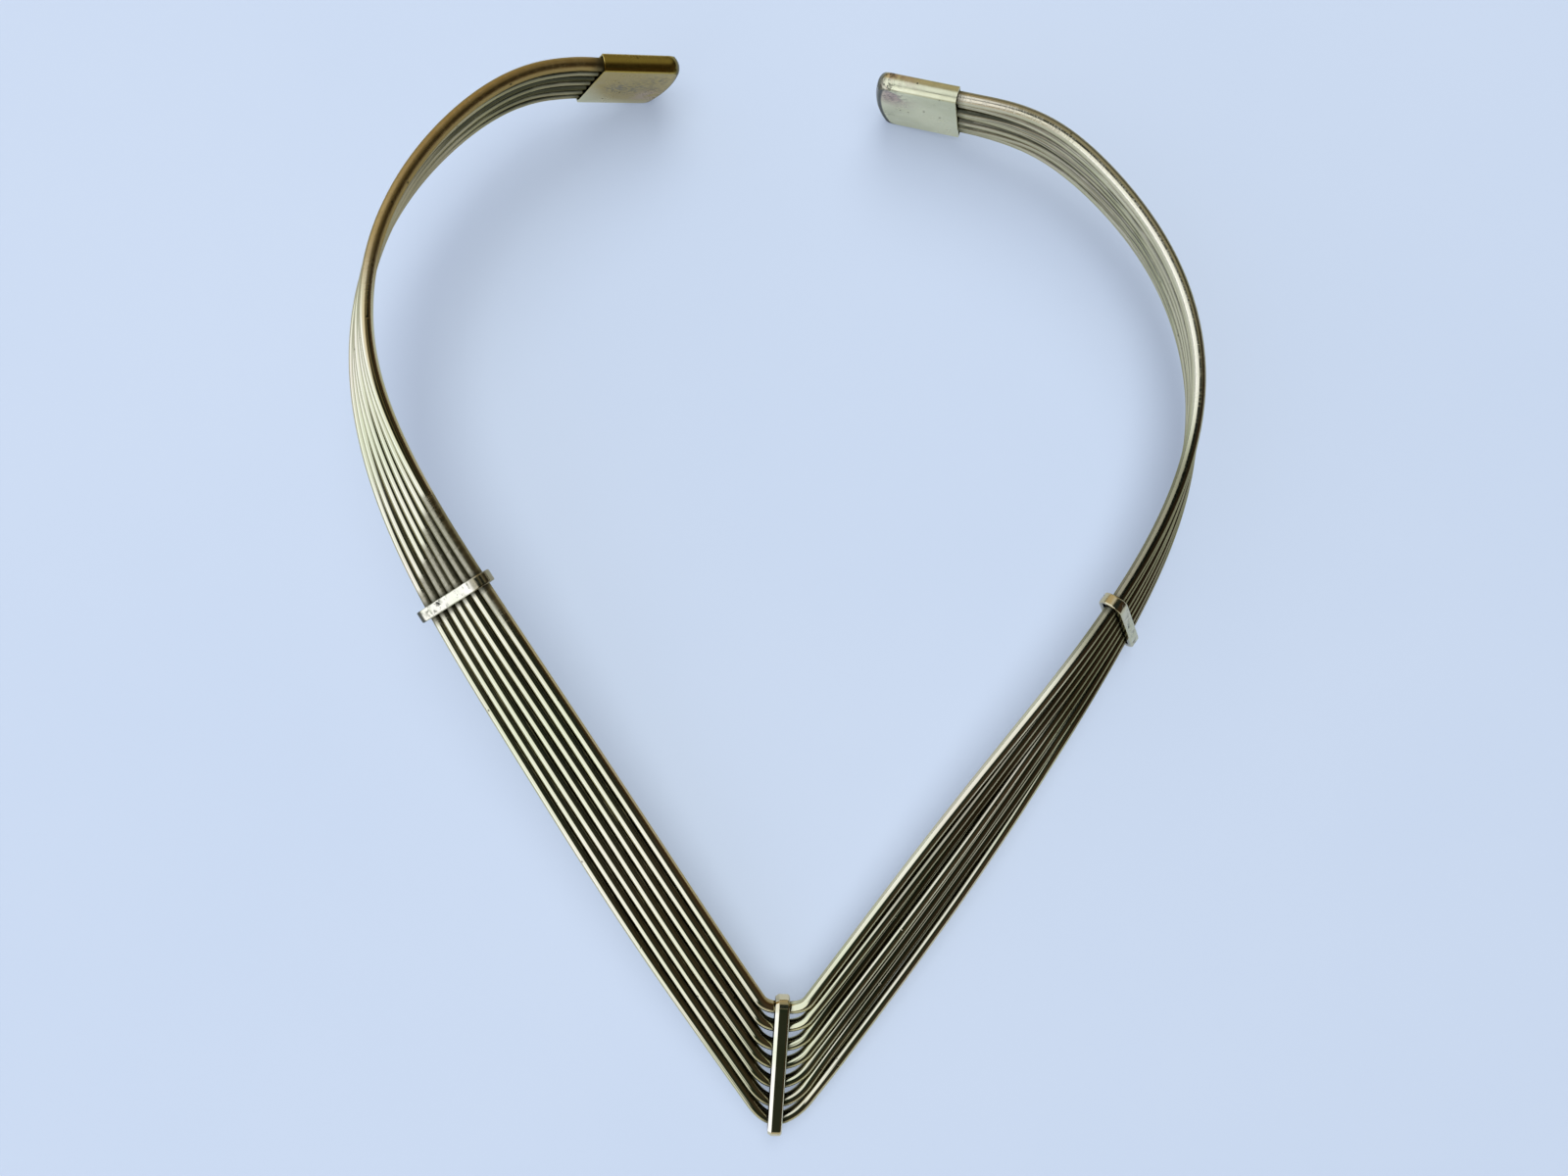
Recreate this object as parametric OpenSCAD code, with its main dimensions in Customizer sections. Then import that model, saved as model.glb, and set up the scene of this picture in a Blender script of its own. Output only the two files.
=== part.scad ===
// Rigid collar of seven round wires laid side by side, pointed at the front and open at the back.
// It rests on a flat surface at z = 0, seen from above with the point towards -Y.

/* [Wires] */
// Diameter of each wire
wire_d = 1.8; // [1.6:0.1:1.8]
// Distance between the centres of neighbouring wires along the band
wire_pitch = 1.85; // [1.83:0.01:1.9]
// Sides of a wire's round section
wire_sides = 10; // [8:1:10]

/* [Point of the V] */
// Distance between neighbouring wires where they cross under the centre bar
cross_step = 3.15; // [3:0.05:3.2]
// How far the centre bar leans down towards its outer end, in degrees
bar_slope = 14; // [12:1:15]
// How far the centre bar rolls about its length, left side up, in degrees
bar_roll = 3; // [0:1:6]
// How far the centre bar turns aside from the middle line, in degrees
bar_turn = 3.5; // [0:0.5:6]
// Width of the centre bar
bar_w = 2.1; // [2:0.1:2.3]

/* [Straps] */
// Width of each side clip along the wires
strap_w = 1.7; // [1.6:0.1:2]
// Thickness of a strap where it lies over the wires
strap_wall = 0.8; // [0.6:0.1:0.9]
// Thickness of a strap where it folds round wire 1
inner_fold = 0.6; // [0.5:0.1:1]
// Thickness of a strap where it folds round the last wire
outer_fold = 1.3; // [0.8:0.1:1.6]
// How far the left clip sits askew on its wires, in degrees
left_skew = 3; // [0:1:6]
// How far the right clip sits askew on its wires, in degrees
right_skew = 10; // [0:1:12]

/* [End caps] */
// Length of each cap along the wires
cap_len = 12.3; // [11:0.1:13]
// Sheet thickness of a cap
cap_wall = 0.25; // [0.25:0.05:0.4]
// How far a cap's end bulges past its corners
cap_bulge = 1; // [0.6:0.1:1.5]
// Radius of the cap's fold along its long edges
cap_fold = 0.6; // [0.5:0.1:0.9]
// Radius of the cap's end corners
cap_corner = 2.4; // [1.5:0.1:3]

/* [Hidden] */

// Columns of the route tables: x, y and z of the band's middle wire, and the band's lean.
// A lean of 0 lays the band flat with wire 1 inside, and 90 stands it upright with wire 1 on top.
// Each route is a B-spline through these rows, from the point of the V to the mouth of a cap.
left_route = [
  [ -3.4, -67.0,  5.0, 18],
  [-13.9, -51.0,  7.5, 18],
  [-24.0, -34.5, 10.0, 20],
  [-34.0, -18.0, 12.5, 25],
  [-44.0,  -1.5, 15.0, 32],
  [-53.0,  15.5, 18.0, 44],
  [-58.5,  34.0, 20.5, 63],
  [-55.5,  52.0, 20.5, 71],
  [-46.5,  65.3, 18.0, 75],
  [-37.8,  72.6, 15.3, 77],
  [-31.455, 74.77, 12.451, 83],
  [-28.2,  75.4, 10.81, 83]
];
right_route = [
  [  1.5, -67.2,  4.5, 27],
  [ 13.3, -51.3,  5.5, 28],
  [ 24.8, -35.3,  6.5, 34],
  [ 36.0, -19.5,  7.5, 44],
  [ 47.0,  -3.5,  8.5, 57],
  [ 56.5,  14.0,  9.0, 68],
  [ 60.0,  33.0,  9.0, 78],
  [ 54.5,  51.0,  9.0, 83],
  [ 42.0,  64.5,  9.5, 86],
  [ 33.7,  69.0, 10.0, 87],
  [ 24.8,  71.5,  8.43, 87]
];

// Middle wire under the centre bar
cross_mid = [-1.3, -67.2, 4.37];
// Places of the side clips, counted in rows along each route
left_clip_row = 4.2;
right_clip_row = 4.1;

wire_count = 7;
middle_wire = (wire_count + 1) / 2;
wire_r = wire_d / 2;
band_w = (wire_count - 1) * wire_pitch + wire_d;
// Distance along the arms by which each wire leaves later than its inner neighbour
leave_step = 2.3;
// Distance along the arms from the corner of the V to where a wire starts to turn
turn_start = 2.6;
// Share of the turn's span that its curve handles take
turn_handle = 0.34;
// Rings on each turn, and rings between two rows of a route
turn_rings = 4;
row_rings = 4;
// Space left between a wire and a strap or a cap
slip = 0.15;
// Space between a wire and the centre bar, more because the wires bend there
bar_slip = 0.3;
cap_slip = 0.1;
// A cap's hollow ends where its corners begin to round, and the wires end this much short of that
cap_depth = cap_len - cap_corner;
end_gap = 0.3;
// Straight part left between a strap's two corners at each fold, outside and inside
outer_flat = 0.2;
inner_flat = 0.4;
cut = 0.1;
brass = [0.75, 0.69, 0.54];
dark_brass = [0.62, 0.56, 0.42];
$fn = 48;

function unit(v) = v / norm(v);

// Row of a table, carried on in a straight line past both ends
function row(table, i) =
  i < 0 ? table[0] + i * (table[1] - table[0]) :
  i > len(table) - 1 ? table[len(table) - 1]
    + (i - len(table) + 1) * (table[len(table) - 1] - table[len(table) - 2]) :
  table[i];

// Value of the B-spline at a place counted in rows
function spline(table, t) =
  let (i = floor(t), f = t - i, g = 1 - f)
  (g * g * g * row(table, i - 1)
    + (3 * f * f * f - 6 * f * f + 4) * row(table, i)
    + (3 * g * g * g - 6 * g * g + 4) * row(table, i + 1)
    + f * f * f * row(table, i + 2)) / 6;

// Direction of the B-spline at a place counted in rows
function slope(table, t) =
  let (i = floor(t), f = t - i, g = 1 - f)
  -g * g / 2 * row(table, i - 1)
    + (3 * f * f - 4 * f) / 2 * row(table, i)
    - (3 * g * g - 4 * g) / 2 * row(table, i + 1)
    + f * f / 2 * row(table, i + 2);

function xyz(v) = [v[0], v[1], v[2]];

// Band at a place: its middle, the way along it, and the way across it from wire 1 to the last.
// The side is 1 on the left half and -1 on the right half.
function band(table, side, t) =
  let (
    value = spline(table, t),
    along = unit(xyz(slope(table, t))),
    outward = unit(side * cross([0, 0, 1], along)),
    down = unit(along * along[2] - [0, 0, 1]),
    lean = value[3]
  )
  [xyz(value), along, cos(lean) * outward + sin(lean) * down];

// Point of a wire on one half, with the way across the band there
function on_band(table, side, wire, t) =
  let (b = band(table, side, t))
  [b[0] + (wire - middle_wire) * wire_pitch * b[2], b[2]];

// Frame of the centre bar: the way to the left, the way down its length, and the way up
bar_down = [
  -sin(bar_turn) * cos(bar_slope),
  -cos(bar_turn) * cos(bar_slope),
  -sin(bar_slope)
];
bar_level = unit(cross([0, 0, 1], -bar_down));
bar_left = cos(bar_roll) * bar_level + sin(bar_roll) * cross(bar_level, bar_down);
bar_up = cross(bar_left, bar_down);

function crossing(wire) = cross_mid + (wire - middle_wire) * cross_step * bar_down;

// Place on a route where a wire leaves its straight arm for the turn to the centre bar
function leave_row(table, wire) =
  (turn_start - (wire - middle_wire) * leave_step) / norm(xyz(table[1] - table[0]));

function bezier(a, b, c, d, f) =
  let (g = 1 - f)
  g * g * g * a + 3 * g * g * f * b + 3 * g * f * f * c + f * f * f * d;

// Points of a wire's turn, from its crossing out to its arm
function turn(table, side, wire) =
  let (
    t = leave_row(table, wire),
    arm = on_band(table, side, wire, t),
    arm_way = band(table, side, t)[1],
    start = crossing(wire),
    handle = turn_handle * norm(arm[0] - start)
  )
  [for (k = [0 : turn_rings - 1])
    let (f = k / turn_rings)
    [bezier(start, start + side * handle * bar_left, arm[0] - handle * arm_way, arm[0], f),
     unit((1 - f) * bar_down + f * arm[1])]];

// Row number of the end of a wire inside its cap
function end_row(table) =
  let (last = len(table) - 1)
  last + (cap_depth - end_gap) / norm(xyz(table[last] - table[last - 1]));

// Points of a wire's half beyond its turn, out to its end inside the cap
function arm(table, side, wire) =
  let (
    start = leave_row(table, wire),
    first = ceil(start * row_rings + 0.5),
    last = (len(table) - 1) * row_rings
  )
  concat(
    [on_band(table, side, wire, start)],
    [for (k = [first : last]) on_band(table, side, wire, k / row_rings)],
    [on_band(table, side, wire, end_row(table))]
  );

function half(table, side, wire) = concat(turn(table, side, wire), arm(table, side, wire));

function backwards(list) = [for (k = [len(list) - 1 : -1 : 0]) list[k]];

// Whole way of a wire from the left cap to the right cap
function way(wire) =
  concat(backwards(half(left_route, 1, wire)), half(right_route, -1, wire));

// Round tube along a way: each stop is a point and the way across the band there
module tube(stops, radius, sides) {
  last = len(stops) - 1;
  rings = [for (k = [0 : last])
    let (
      along = unit(stops[min(k + 1, last)][0] - stops[max(k - 1, 0)][0]),
      up = unit(cross(along, stops[k][1])),
      across = cross(up, along)
    )
    for (s = [0 : sides - 1])
      stops[k][0] + radius * (cos(360 * s / sides) * across + sin(360 * s / sides) * up)];
  walls = [for (k = [0 : last - 1])
    for (s = [0 : sides - 1])
      let (n = (s + 1) % sides)
      [k * sides + s, (k + 1) * sides + s, (k + 1) * sides + n, k * sides + n]];
  ends = [
    [for (s = [0 : sides - 1]) s],
    [for (s = [sides - 1 : -1 : 0]) last * sides + s]
  ];
  polyhedron(points = rings, faces = concat(walls, ends));
}

module wire(number) {
  color(brass)
    tube(way(number), wire_r, wire_sides);
}

// Puts its child in a frame of three directions at a place
module in_frame(place, x_way, y_way, z_way) {
  multmatrix([
    [x_way[0], y_way[0], z_way[0], place[0]],
    [x_way[1], y_way[1], z_way[1], place[1]],
    [x_way[2], y_way[2], z_way[2], place[2]]
  ])
    children();
}

// Rectangle with round corners
module rounded(w, h, r) {
  union() {
    square([w - 2 * r, h], center = true);
    square([w, h - 2 * r], center = true);
    for (x = [-1, 1])
      for (y = [-1, 1])
        translate([x * (w / 2 - r), y * (h / 2 - r)])
          circle(r = r);
  }
}

// Closed strap round the wires: it runs along Y from wire 1 to the last, and its width lies along X
module strap(inner_len, width, room) {
  inner_h = wire_d + 2 * room;
  outer_h = wire_d + 2 * slip + 2 * strap_wall;
  outer_len = inner_len + inner_fold + outer_fold;
  translate([-width / 2, 0, 0])
    rotate([90, 0, 90])
      linear_extrude(width)
        difference() {
          translate([(outer_fold - inner_fold) / 2, 0])
            rounded(outer_len, outer_h, (outer_h - outer_flat) / 2);
          rounded(inner_len, inner_h, (inner_h - inner_flat) / 2);
        }
}

module centre_bar() {
  inner_len = (wire_count - 1) * cross_step + wire_d + 2 * bar_slip;
  color(brass)
    in_frame(cross_mid, -bar_left, bar_down, bar_up)
      strap(inner_len, bar_w, bar_slip);
}

module clip(table, side, place, skew) {
  b = band(table, side, place);
  inner_len = band_w / cos(skew) + strap_w * tan(skew) + 2 * slip;
  color(brass)
    in_frame(b[0], b[1], b[2], cross(b[1], b[2]))
      rotate([0, 0, skew])
        strap(inner_len, strap_w, slip);
}

// Closed sleeve over the wire ends: its mouth is at x = 0 and its width lies along Y
module sleeve() {
  inner_h = wire_d + 2 * cap_slip;
  outer_h = inner_h + 2 * cap_wall;
  inner_w = band_w + 2 * cap_slip;
  outer_w = inner_w + 2 * cap_wall;
  // Radius of the arc that bulges past the end's corners
  end_r = (outer_w * outer_w / 4 + cap_bulge * cap_bulge) / (2 * cap_bulge);
  difference() {
    intersection() {
      rotate([90, 0, 90])
        linear_extrude(cap_len)
          rounded(outer_w, outer_h, cap_fold);
      translate([cap_len - end_r, 0, -outer_h])
        cylinder(r = end_r, h = 2 * outer_h, $fn = 96);
      translate([0, 0, -outer_h])
        linear_extrude(2 * outer_h)
          rounded(2 * cap_len, outer_w, cap_corner);
    }
    translate([-cut, 0, 0])
      rotate([90, 0, 90])
        linear_extrude(cap_depth + cut)
          rounded(inner_w, inner_h, cap_fold - cap_wall);
  }
}

module cap(table, side) {
  b = band(table, side, len(table) - 1);
  color(dark_brass)
    in_frame(b[0], b[1], b[2], cross(b[1], b[2]))
      sleeve();
}

wire(1);  // wire_1
wire(2);  // wire_2
wire(3);  // wire_3
wire(4);  // wire_4
wire(5);  // wire_5
wire(6);  // wire_6
wire(7);  // wire_7
centre_bar();
clip(left_route, 1, left_clip_row, left_skew);  // left_clip
clip(right_route, -1, right_clip_row, right_skew);  // right_clip
cap(left_route, 1);  // left_cap
cap(right_route, -1);  // right_cap
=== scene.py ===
import math
from collections import namedtuple

import bmesh
import bpy
import numpy as np
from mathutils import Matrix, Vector


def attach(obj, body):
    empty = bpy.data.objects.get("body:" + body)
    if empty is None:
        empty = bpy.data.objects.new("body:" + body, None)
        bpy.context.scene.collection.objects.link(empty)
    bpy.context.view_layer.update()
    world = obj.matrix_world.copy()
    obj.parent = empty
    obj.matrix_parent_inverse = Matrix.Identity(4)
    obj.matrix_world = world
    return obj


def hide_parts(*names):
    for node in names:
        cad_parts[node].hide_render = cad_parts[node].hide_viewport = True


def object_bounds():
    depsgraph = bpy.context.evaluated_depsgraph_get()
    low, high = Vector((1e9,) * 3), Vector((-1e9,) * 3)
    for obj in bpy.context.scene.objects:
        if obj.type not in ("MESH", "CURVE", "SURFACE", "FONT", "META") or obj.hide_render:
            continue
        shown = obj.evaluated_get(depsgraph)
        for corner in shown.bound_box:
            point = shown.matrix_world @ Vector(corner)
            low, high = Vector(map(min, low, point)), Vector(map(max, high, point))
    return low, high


# The collar: seven polished wires side by side, three straps round them and a cap on each end.
# Lengths are millimetres on the object until a mesh is made, and MM turns them into metres.
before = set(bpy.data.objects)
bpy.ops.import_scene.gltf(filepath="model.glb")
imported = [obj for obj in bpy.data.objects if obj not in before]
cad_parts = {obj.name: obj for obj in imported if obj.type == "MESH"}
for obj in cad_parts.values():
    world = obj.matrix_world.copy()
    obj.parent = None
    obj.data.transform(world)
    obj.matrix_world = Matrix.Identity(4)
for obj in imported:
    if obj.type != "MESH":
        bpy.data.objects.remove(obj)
cad_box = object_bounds()
MM = 0.001

# Wires, as in the part's source: their pitch on the arms, and their step where they cross the centre bar
WIRE_COUNT = 7
MIDDLE_WIRE = 4
WIRE_R = 0.9
WIRE_PITCH = 1.85
CROSS_STEP = 3.15
CROSS_MID = np.array([-1.3, -67.2, 4.37])
BAND_W = (WIRE_COUNT - 1) * WIRE_PITCH + 2 * WIRE_R

# Bends at the centre bar: where they end on the arm, how that moves from wire to wire, and their roundness
TURN_START = 2.6
LEAVE_STEP = 2.3
TURN_HANDLE = 0.34

# Centre bar's lean, roll and turn
BAR_SLOPE = math.radians(14)
BAR_ROLL = math.radians(3)
BAR_TURN = math.radians(3.5)

# Clips' places, counted in rows of the routes, and how far askew they sit
LEFT_CLIP_ROW = 4.2
LEFT_SKEW = math.radians(3)
RIGHT_CLIP_ROW = 4.1
RIGHT_SKEW = math.radians(10)

# Straps: widths, thickness, thickness at their folded ends, and room round the wires
BAR_W = 2.1
STRAP_W = 1.7
STRAP_WALL = 0.8
INNER_FOLD = 0.6
OUTER_FOLD = 1.3
SLIP = 0.15
BAR_SLIP = 0.3

# Caps: length, sheet, bulge and corners of the end, room round the wires, depth of the hollow, and the gap
# between its end and the wires
CAP_LEN = 12.3
CAP_WALL = 0.25
CAP_BULGE = 1.0
CAP_CORNER = 2.4
CAP_SLIP = 0.1
CAP_DEPTH = CAP_LEN - CAP_CORNER
END_GAP = 0.3

# Routes. Columns: x, y and z of the band's middle wire, and the band's lean in degrees
LEFT_ROUTE = np.array([
    [-3.4, -67.0, 5.0, 18],
    [-13.9, -51.0, 7.5, 18],
    [-24.0, -34.5, 10.0, 20],
    [-34.0, -18.0, 12.5, 25],
    [-44.0, -1.5, 15.0, 32],
    [-53.0, 15.5, 18.0, 44],
    [-58.5, 34.0, 20.5, 63],
    [-55.5, 52.0, 20.5, 71],
    [-46.5, 65.3, 18.0, 75],
    [-37.8, 72.6, 15.3, 77],
    [-31.455, 74.77, 12.451, 83],
    [-28.2, 75.4, 10.81, 83],
])
RIGHT_ROUTE = np.array([
    [1.5, -67.2, 4.5, 27],
    [13.3, -51.3, 5.5, 28],
    [24.8, -35.3, 6.5, 34],
    [36.0, -19.5, 7.5, 44],
    [47.0, -3.5, 8.5, 57],
    [56.5, 14.0, 9.0, 68],
    [60.0, 33.0, 9.0, 78],
    [54.5, 51.0, 9.0, 83],
    [42.0, 64.5, 9.5, 86],
    [33.7, 69.0, 10.0, 87],
    [24.8, 71.5, 8.43, 87],
])

# Fineness of the meshes: rings and sides of the wires, and the angle from which an edge is sharp
RING_STEP = 0.6
WIRE_SIDES = 28
SHARP = math.radians(40)


# Route of the band and its wires

def unit(v):
    """A vector's direction, one long."""
    return v / np.linalg.norm(v)


def row(table, i):
    """Row of a route, which goes on straight past both of its ends."""
    last = len(table) - 1
    if i < 0:
        return table[0] + i * (table[1] - table[0])
    if i > last:
        return table[last] + (i - last) * (table[last] - table[last - 1])
    return table[i]


def spline(table, t):
    """Value of a route's smooth curve at t, counted in rows."""
    i = math.floor(t)
    f = t - i
    g = 1 - f
    return (
        g**3 * row(table, i - 1)
        + (3 * f**3 - 6 * f**2 + 4) * row(table, i)
        + (3 * g**3 - 6 * g**2 + 4) * row(table, i + 1)
        + f**3 * row(table, i + 2)
    ) / 6


def slope(table, t):
    """How fast that curve changes at t."""
    i = math.floor(t)
    f = t - i
    g = 1 - f
    return (
        -g**2 * row(table, i - 1)
        + (3 * f**2 - 4 * f) * row(table, i)
        - (3 * g**2 - 4 * g) * row(table, i + 1)
        + f**2 * row(table, i + 2)
    ) / 2


def band(table, side, t):
    """Middle of the band, its ways along and across, and the way out of its outer face.

    The side is 1 on the left and -1 on the right.
    """
    value = spline(table, t)
    along = unit(slope(table, t)[:3])
    outward = unit(side * np.cross([0, 0, 1], along))
    down = unit(along * along[2] - np.array([0, 0, 1]))
    lean = math.radians(value[3])
    across = math.cos(lean) * outward + math.sin(lean) * down
    return value[:3], along, across, side * np.cross(along, across)


# Ways along the centre bar to its outer end, across it to the left, and out of its outer face
BAR_DOWN = np.array([
    -math.sin(BAR_TURN) * math.cos(BAR_SLOPE),
    -math.cos(BAR_TURN) * math.cos(BAR_SLOPE),
    -math.sin(BAR_SLOPE),
])
BAR_LEVEL = unit(np.cross([0, 0, 1], -BAR_DOWN))
BAR_LEFT = math.cos(BAR_ROLL) * BAR_LEVEL + math.sin(BAR_ROLL) * np.cross(BAR_LEVEL, BAR_DOWN)
BAR_UP = np.cross(BAR_LEFT, BAR_DOWN)


def row_length(table, i):
    """Distance from a row of a route to the next."""
    return np.linalg.norm((table[i + 1] - table[i])[:3])


def half_way(table, side, wire, turn_stops=24, row_stops=40):
    """Points and ways across of one half of a wire, from the centre bar to its end inside a cap."""
    offset = wire - MIDDLE_WIRE
    start = (TURN_START - offset * LEAVE_STEP) / row_length(table, 0)
    middle, arm_way, across, _ = band(table, side, start)
    arm = middle + offset * WIRE_PITCH * across
    crossing = CROSS_MID + offset * CROSS_STEP * BAR_DOWN
    handle = TURN_HANDLE * np.linalg.norm(arm - crossing)
    corners = [crossing, crossing + side * handle * BAR_LEFT, arm - handle * arm_way, arm]
    points, ways = [], []
    for k in range(turn_stops):
        f = k / turn_stops
        g = 1 - f
        shares = (g**3, 3 * g**2 * f, 3 * g * f**2, f**3)
        points.append(sum(share * corner for share, corner in zip(shares, corners)))
        ways.append(unit(g * BAR_DOWN + f * across))
    last = len(table) - 1
    end = last + (CAP_DEPTH - END_GAP) / row_length(table, last - 1)
    for t in np.linspace(start, end, int((end - start) * row_stops)):
        middle, _, across, _ = band(table, side, t)
        points.append(middle + offset * WIRE_PITCH * across)
        ways.append(across)
    return np.array(points), np.array(ways)


def wire_way(wire):
    """Even stops along a whole wire from the left cap on: points, ways across and distances."""
    left_points, left_ways = half_way(LEFT_ROUTE, 1, wire)
    right_points, right_ways = half_way(RIGHT_ROUTE, -1, wire)
    points = np.concatenate([left_points[::-1], right_points[1:]])
    ways = np.concatenate([left_ways[::-1], right_ways[1:]])
    run = np.concatenate([[0], np.cumsum(np.linalg.norm(np.diff(points, axis=0), axis=1))])
    even = np.linspace(0, run[-1], int(run[-1] / RING_STEP) + 1)
    points = np.stack([np.interp(even, run, points[:, k]) for k in range(3)], axis=1)
    ways = np.stack([np.interp(even, run, ways[:, k]) for k in range(3)], axis=1)
    return points, ways, even


# Meshes

def smooth_step(values, low, high):
    """0 up to low, 1 from high on, and a smooth rise between them."""
    share = np.clip((np.asarray(values) - low) / (high - low), 0, 1)
    return share * share * (3 - 2 * share)


def stretch(values, low, high, soft):
    """1 between low and high, 0 outside, with soft ends."""
    rise = smooth_step(values, low - soft / 2, low + soft / 2)
    fall = smooth_step(values, high - soft / 2, high + soft / 2)
    return rise * (1 - fall)


def blot_sum(blots, x, y):
    """What soft round blots add up to at a place. Each blot: its place, its size and its strength."""
    return sum(s * math.exp(-((x - a) ** 2 + (y - b) ** 2) / r**2) for a, b, r, s in blots)


def random_dents(seed, count, limits):
    """Dents as blots, drawn between the limits of their place, place across, size and depth."""
    random = np.random.default_rng(seed)
    return [tuple(random.uniform(low, high) for low, high in limits) for _ in range(count)]


def grid_faces(rows, columns, wrap_rows=False):
    """Quads of a grid of points whose rows close on themselves, and the grid places of their corners."""
    faces, places = [], []
    for i in range(rows if wrap_rows else rows - 1):
        n = (i + 1) % rows
        for j in range(columns):
            m = (j + 1) % columns
            faces.append([i * columns + j, i * columns + m, n * columns + m, n * columns + j])
            places.append([(i, j), (i, j + 1), (i + 1, j + 1), (i + 1, j)])
    return faces, places


def make_piece(name, points, faces, corners, attributes, material):
    """A mesh piece that stands for the CAD node of the same name and rides on the part's one body."""
    mesh = bpy.data.meshes.new(name)
    mesh.from_pydata([tuple(p * MM) for p in points], [], faces)
    mesh.uv_layers.new(name="run")
    mesh.uv_layers["run"].data.foreach_set("uv", np.array(corners, np.float32).ravel())
    for title, values in attributes.items():
        mesh.attributes.new(title, "FLOAT", "POINT").data.foreach_set("value", np.array(values, np.float32))
    mesh.materials.append(material)
    edit = bmesh.new()
    edit.from_mesh(mesh)
    bmesh.ops.recalc_face_normals(edit, faces=edit.faces)
    edit.to_mesh(mesh)
    edit.free()
    mesh.shade_smooth()
    mesh.set_sharp_from_angle(angle=SHARP)
    piece = bpy.data.objects.new(name + "_look", mesh)
    bpy.context.scene.collection.objects.link(piece)
    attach(piece, "root")
    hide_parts(name)


def in_frame(points, place, x_way, y_way, z_way):
    """Points of a piece's own frame, moved to its place on the collar."""
    return place + points[:, :1] * x_way + points[:, 1:2] * y_way + points[:, 2:3] * z_way


# Node trees

class Tree:
    """Short names for the nodes that the materials and the room are built from."""

    def __init__(self, owner):
        owner.use_nodes = True
        self.owner = owner
        self.nodes = owner.node_tree.nodes
        self.links = owner.node_tree.links
        self.shader = self.nodes.get("Principled BSDF")

    def add(self, kind, inputs=None, **settings):
        made = self.nodes.new(kind)
        for title, value in settings.items():
            setattr(made, title, value)
        for title, value in (inputs or {}).items():
            self.feed(made.inputs[title], value)
        return made

    def feed(self, socket, value):
        if isinstance(value, bpy.types.NodeSocket):
            self.links.new(value, socket)
        else:
            socket.default_value = value

    def attribute(self, title):
        return self.add("ShaderNodeAttribute", attribute_name=title).outputs["Fac"]

    def place(self, name="Object"):
        return self.add("ShaderNodeTexCoord").outputs[name]

    def run(self, along, around):
        """The piece's own run: distance along it and way round it, stretched by the two scales."""
        uv = self.add("ShaderNodeUVMap", uv_map="run").outputs["UV"]
        scaled = self.add("ShaderNodeMapping", {"Vector": uv, "Scale": (along, around, 1)})
        return scaled.outputs["Vector"]

    def noise(self, vector, scale, detail=3.0, roughness=0.55, distortion=0.0):
        inputs = {
            "Vector": vector,
            "Scale": scale,
            "Detail": detail,
            "Roughness": roughness,
            "Distortion": distortion,
        }
        return self.add("ShaderNodeTexNoise", inputs).outputs["Fac"]

    def cells(self, vector, scale):
        inputs = {"Vector": vector, "Scale": scale}
        return self.add("ShaderNodeTexVoronoi", inputs).outputs["Distance"]

    def ramp(self, value, low, high, to_low=0.0, to_high=1.0):
        """A smooth change from to_low to to_high while the value goes from low to high."""
        inputs = {
            "Value": value,
            "From Min": low,
            "From Max": high,
            "To Min": to_low,
            "To Max": to_high,
        }
        made = self.add("ShaderNodeMapRange", inputs, interpolation_type="SMOOTHSTEP")
        return made.outputs["Result"]

    def math(self, operation, a, b=0.5):
        made = self.add("ShaderNodeMath", operation=operation)
        self.feed(made.inputs[0], a)
        self.feed(made.inputs[1], b)
        return made.outputs["Value"]

    def plus(self, a, b):
        return self.math("ADD", a, b)

    def minus(self, a, b):
        return self.math("SUBTRACT", a, b)

    def times(self, a, b):
        return self.math("MULTIPLY", a, b)

    def dot(self, vector, way):
        made = self.add("ShaderNodeVectorMath", operation="DOT_PRODUCT")
        self.feed(made.inputs[0], vector)
        self.feed(made.inputs[1], tuple(way))
        return made.outputs["Value"]

    def mix(self, share, a, b):
        """Colour a, and the share of b that lies over it. The sockets after Factor are the colours."""
        made = self.add("ShaderNodeMix", data_type="RGBA")
        self.feed(made.inputs["Factor"], share)
        self.feed(made.inputs[6], a)
        self.feed(made.inputs[7], b)
        return made.outputs[2]

    def metal(self, colour, rough, height, depth, strength):
        """Feed a metal's colour, roughness and relief, whose depth is in metres, and give the material."""
        relief = self.add("ShaderNodeBump", {"Height": height, "Distance": depth, "Strength": strength})
        self.shader.inputs["Metallic"].default_value = 1.0
        self.feed(self.shader.inputs["Base Color"], colour)
        self.feed(self.shader.inputs["Roughness"], rough)
        self.feed(self.shader.inputs["Normal"], relief.outputs["Normal"])
        return self.owner


# Materials

# Colours of the metal from clean to tarnished, and the tint of the wires at a glancing angle. The patina and
# tarnish colours also serve as painted shade
BRIGHT = (0.94, 0.87, 0.54, 1)
PALE = (0.79, 0.70, 0.46, 1)
OLIVE = (0.69, 0.65, 0.38, 1)
GOLD = (0.74, 0.58, 0.32, 1)
BROWN = (0.58, 0.37, 0.12, 1)
ROSE = (0.62, 0.44, 0.32, 1)
BRONZE = (0.50, 0.35, 0.07, 1)
PATINA_AND_SHADE = (0.14, 0.115, 0.055, 1)
TARNISH_AND_SHADE = (0.055, 0.054, 0.032, 1)
SOOT = (0.02, 0.018, 0.012, 1)
EDGE_TINT = (0.72, 0.66, 0.46, 1)

# Depth of the fine relief, in metres
WIRE_RELIEF = 0.00003
STRAP_RELIEF = 0.00004
CAP_RELIEF = 0.00003


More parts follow.
